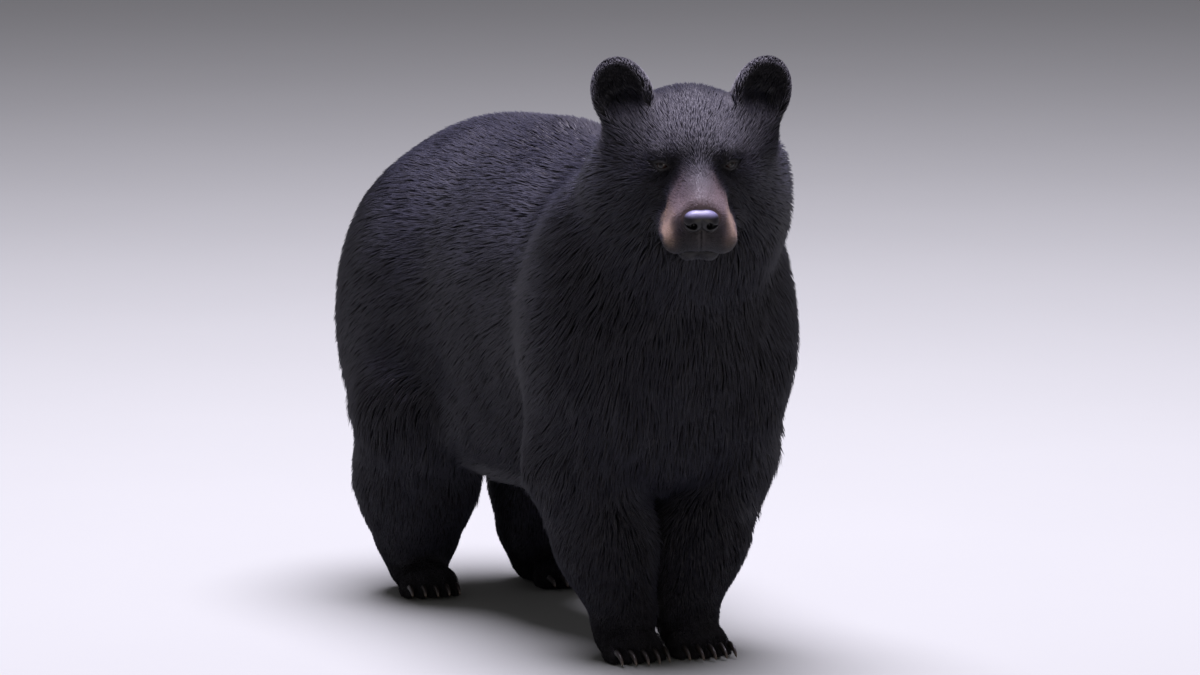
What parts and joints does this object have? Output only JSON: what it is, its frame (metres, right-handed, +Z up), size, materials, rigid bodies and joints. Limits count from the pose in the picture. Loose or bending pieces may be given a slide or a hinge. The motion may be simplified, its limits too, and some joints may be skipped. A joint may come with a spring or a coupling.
{
  "type": "black bear",
  "caption": "Life-size American black bear standing on four feet, head raised and turned to its right, mouth closed.",
  "frame": {"origin": "centre of the bounding box's base, on the floor between the feet", "axes": "+Z up; the bear faces -Y, its left side is +X and its tail is towards +Y"},
  "size_m": [0.5334, 1.3868, 1.0019],
  "materials": {
    "coat": "dense near-black fur with a soft sheen",
    "muzzle": "short brown fur",
    "leather": "moist pebbled nose leather",
    "eye": "wet dark brown eye",
    "claw": "dark horn"
  },
  "bodies": {
    "root": {"claw_forepaw_left_1": "claw", "claw_forepaw_left_2": "claw", "claw_forepaw_left_3": "claw", "claw_forepaw_left_4": "claw", "claw_forepaw_left_5": "claw", "claw_forepaw_right_1": "claw", "claw_forepaw_right_2": "claw", "claw_forepaw_right_3": "claw", "claw_forepaw_right_4": "claw", "claw_forepaw_right_5": "claw", "claw_hindpaw_left_1": "claw", "claw_hindpaw_left_2": "claw", "claw_hindpaw_left_3": "claw", "claw_hindpaw_left_4": "claw", "claw_hindpaw_left_5": "claw", "claw_hindpaw_right_1": "claw", "claw_hindpaw_right_2": "claw", "claw_hindpaw_right_3": "claw", "claw_hindpaw_right_4": "claw", "claw_hindpaw_right_5": "claw", "ear_left": "coat", "ear_right": "coat", "eye_left": "eye", "eye_right": "eye", "foreleg_left": "coat", "foreleg_right": "coat", "forepaw_left": "coat", "forepaw_right": "coat", "head": "coat", "hindleg_left": "coat", "hindleg_right": "coat", "hindpaw_left": "coat", "hindpaw_right": "coat", "lower_jaw": "muzzle", "neck": "coat", "nose": "leather", "tail": "coat", "trunk": "coat"}
  },
  "joints": []
}
